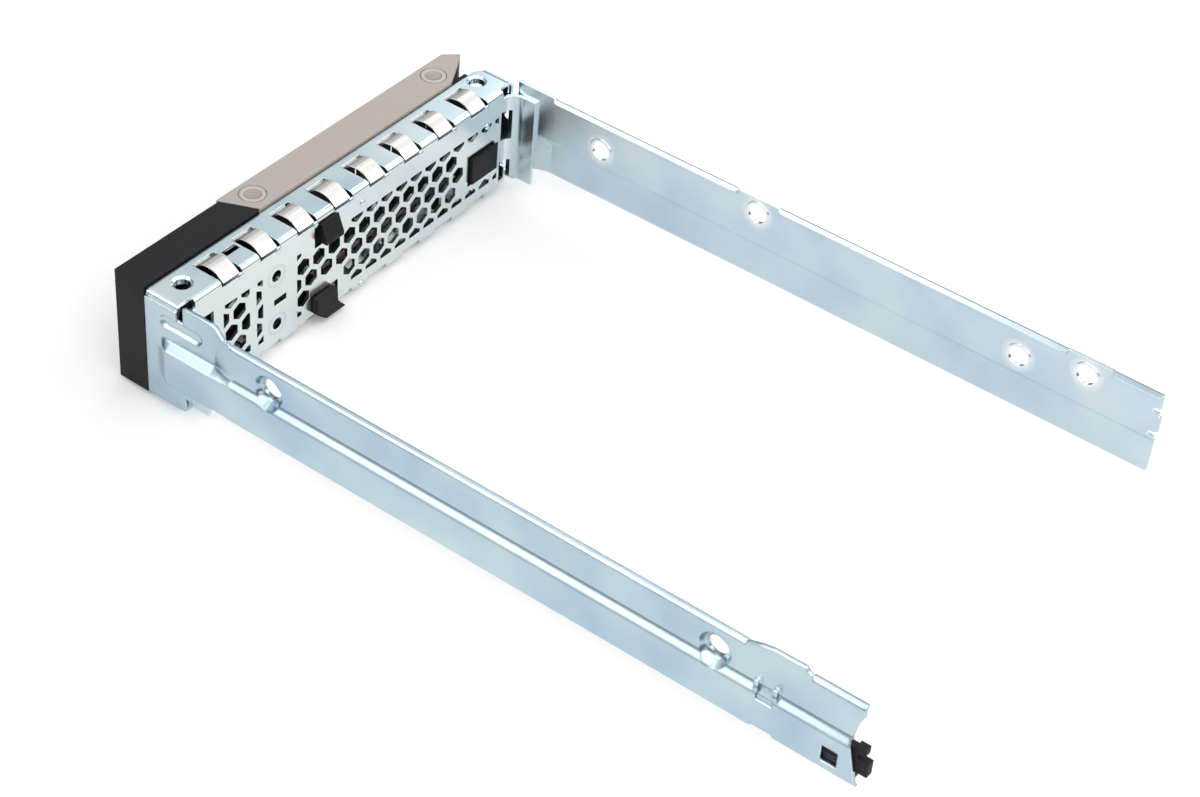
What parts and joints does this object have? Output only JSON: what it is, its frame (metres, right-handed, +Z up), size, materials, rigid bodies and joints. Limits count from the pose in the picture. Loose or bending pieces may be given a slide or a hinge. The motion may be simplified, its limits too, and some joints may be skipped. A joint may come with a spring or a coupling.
{
  "type": "hot swap drive caddy",
  "caption": "Hot swap caddy for a 3.5-inch drive: folded vented front shell with spring fingers, long side rails, black bezel and swinging release lever.",
  "frame": {"origin": "under the middle of the caddy's box, on the surface that it lies on", "axes": "+Y runs rearwards along the rails from the bezel, +X is towards the rail with the light pipes, +Z is up as the caddy lies, upside down against its place in a server"},
  "size_m": [0.1063, 0.1748, 0.0278],
  "materials": {
    "plated_sheet": "bright zinc plate with a pale blue passivation",
    "spring_strip": "bright stainless spring strip",
    "black_moulding": "fine moulded texture",
    "champagne_paint": "satin metallic champagne paint",
    "pin_heads": "painted over with the lever",
    "spring_wire": "drawn spring wire",
    "clear_guide": "clear moulded light guide"
  },
  "bodies": {
    "carrier": {"front_shell": "plated_sheet", "light_pipe_rail": "plated_sheet", "plain_rail": "plated_sheet", "top_spring_strip": "spring_strip", "bottom_spring_strip": "spring_strip", "bezel": "black_moulding", "latch_spring": "spring_wire", "lever_spring": "spring_wire", "light_pipe_carrier": "black_moulding", "status_light_pipe": "clear_guide", "activity_light_pipe": "clear_guide"},
    "lever": {"release_lever": "champagne_paint", "pivot_pin": "pin_heads", "striker_pin": "pin_heads"},
    "button": {"release_button": "black_moulding"},
    "latch": {"latch": "black_moulding"}
  },
  "joints": [
    {"name": "lever_swing", "type": "hinge", "parent": "carrier", "child": "lever", "pos_m": [-0.0413, -0.08366, 0.0143], "axis": [0, 0, -1], "range_deg": [0, 30], "deforming": ["lever_spring"]},
    {"name": "button_press", "type": "slide", "parent": "carrier", "child": "button", "axis": [0, 1, 0], "range_m": [0, 0.0016], "stiffness_N_per_m": 400, "springref_m": -0.001},
    {"name": "latch_slide", "type": "slide", "parent": "carrier", "child": "latch", "axis": [1, 0, 0], "range_m": [0, 0.0016], "stiffness_N_per_m": 400, "springref_m": -0.001, "deforming": ["latch_spring"]}
  ],
  "couplings": [
    {"joint": "latch_slide", "follows": "button_press", "ratio": 1}
  ]
}
